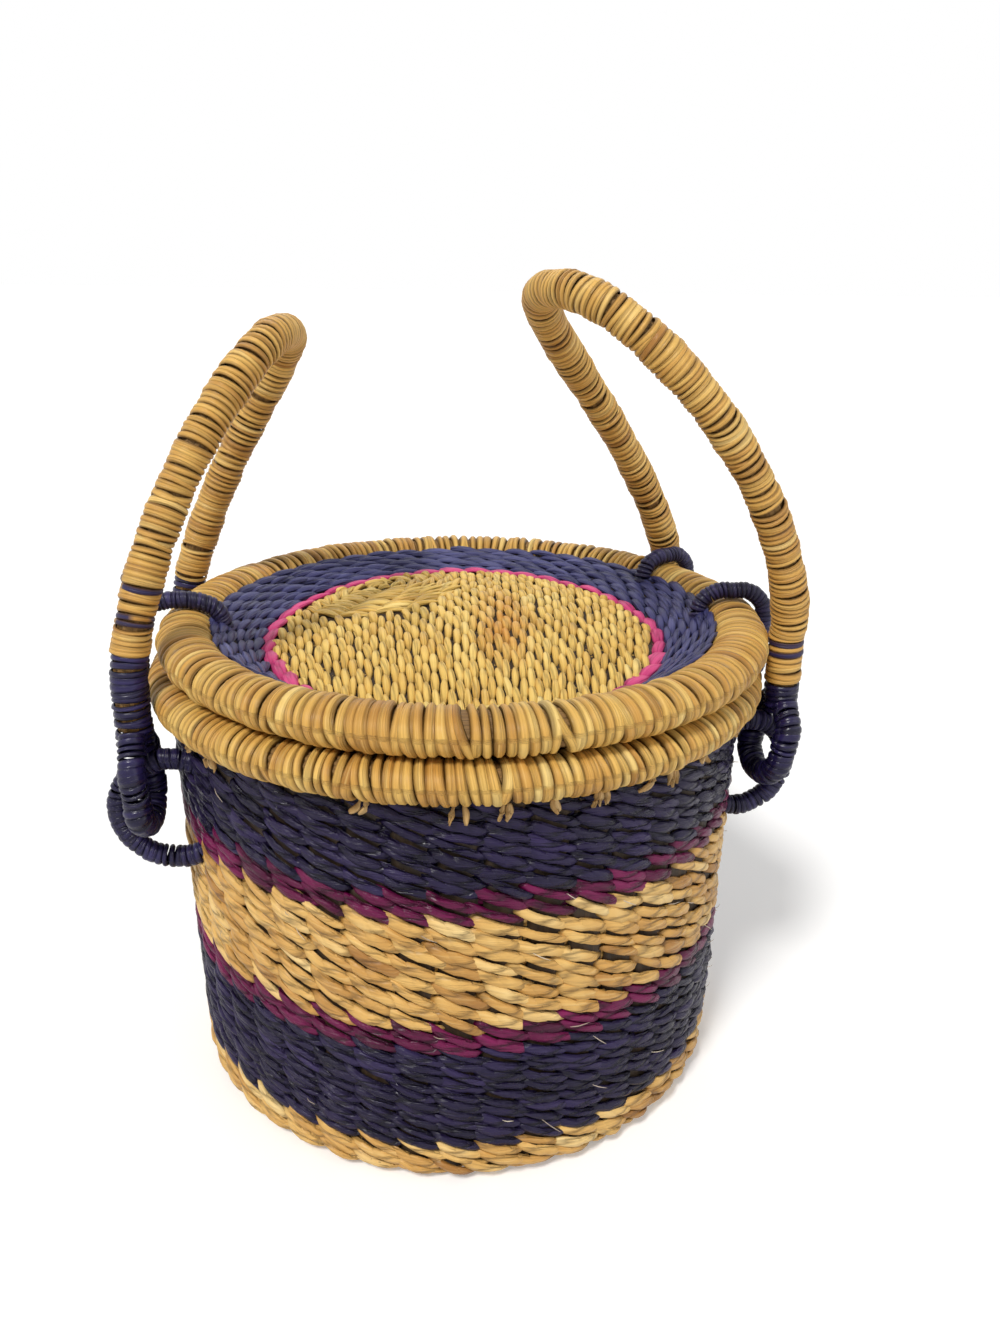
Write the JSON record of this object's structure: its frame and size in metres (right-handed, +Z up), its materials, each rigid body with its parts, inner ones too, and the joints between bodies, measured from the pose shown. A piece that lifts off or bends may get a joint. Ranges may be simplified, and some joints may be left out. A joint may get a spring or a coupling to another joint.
{
  "type": "bolga basket",
  "caption": "Round straight-sided basket of twined straw with dyed bands, a dished lid on tied loops, and wrapped arch handles that fold on rings.",
  "frame": {"origin": "middle of the base, on the surface that the basket stands on", "axes": "+Z up along the axis of the wall; +X towards the side on which the lid is tied; -Y towards the front in the picture"},
  "size_m": [0.3292, 0.2968, 0.386],
  "materials": {
    "straw": "undyed golden straw, twisted and twined, slightly glossy",
    "navy_straw": "straw dyed dark blue-purple, glossy, with pale worn flecks",
    "faded_navy_straw": "straw dyed dark blue, lighter and duller than on the wall",
    "magenta_straw": "straw dyed deep wine magenta",
    "pink_straw": "straw dyed bright magenta pink",
    "stalk_bundle": "bundle of straw ends under a winding"
  },
  "bodies": {
    "basket": {"base_disc": "straw", "base_band": "straw", "lower_navy_band": "navy_straw", "lower_magenta_line": "magenta_straw", "middle_natural_band": "straw", "upper_magenta_line": "magenta_straw", "upper_navy_band": "navy_straw", "basket_rim_core": "stalk_bundle", "basket_rim_wrap": "straw", "hinge_loop_front": "navy_straw", "hinge_loop_rear": "navy_straw"},
    "lid": {"lid_centre_disc": "straw", "lid_pink_ring": "pink_straw", "lid_navy_ring": "faded_navy_straw", "lid_rim_core": "stalk_bundle", "lid_rim_wrap": "straw", "closure_loop": "navy_straw"},
    "left_rings": {"left_front_ring": "navy_straw", "left_rear_ring": "navy_straw"},
    "left_handle": {"left_handle_core": "stalk_bundle", "left_handle_wrap": "straw", "left_front_eye": "navy_straw", "left_rear_eye": "navy_straw"},
    "right_rings": {"right_front_ring": "navy_straw", "right_rear_ring": "navy_straw"},
    "right_handle": {"right_handle_core": "stalk_bundle", "right_handle_wrap": "straw", "right_front_eye": "navy_straw", "right_rear_eye": "navy_straw"}
  },
  "joints": [
    {"name": "lid_open", "type": "hinge", "parent": "basket", "child": "lid", "pos_m": [0.14345, 0.04386, 0.21225], "axis": [-0.2924, 0.9563, 0], "range_deg": [0, 80], "deforming": ["hinge_loop_front", "hinge_loop_rear"]},
    {"name": "left_ring_turn", "type": "hinge", "parent": "basket", "child": "left_rings", "pos_m": [-0.13101, -0.00549, 0.15498], "axis": [0.0419, -0.9991, 0], "range_deg": [0, 44]},
    {"name": "left_handle_fold", "type": "hinge", "parent": "left_rings", "child": "left_handle", "pos_m": [-0.14275, -0.00598, 0.1495], "axis": [0.0419, -0.9991, 0], "range_deg": [0, 90]},
    {"name": "right_ring_turn", "type": "hinge", "parent": "basket", "child": "right_rings", "pos_m": [0.12185, 0.03038, 0.16117], "axis": [-0.2419, 0.9703, 0], "range_deg": [0, 40]},
    {"name": "right_handle_fold", "type": "hinge", "parent": "right_rings", "child": "right_handle", "pos_m": [0.13158, 0.03281, 0.1565], "axis": [-0.2419, 0.9703, 0], "range_deg": [0, 90]}
  ],
  "couplings": [
    {"joint": "left_ring_turn", "follows": "lid_open", "ratio": 0.55},
    {"joint": "right_ring_turn", "follows": "lid_open", "ratio": 0.5}
  ]
}
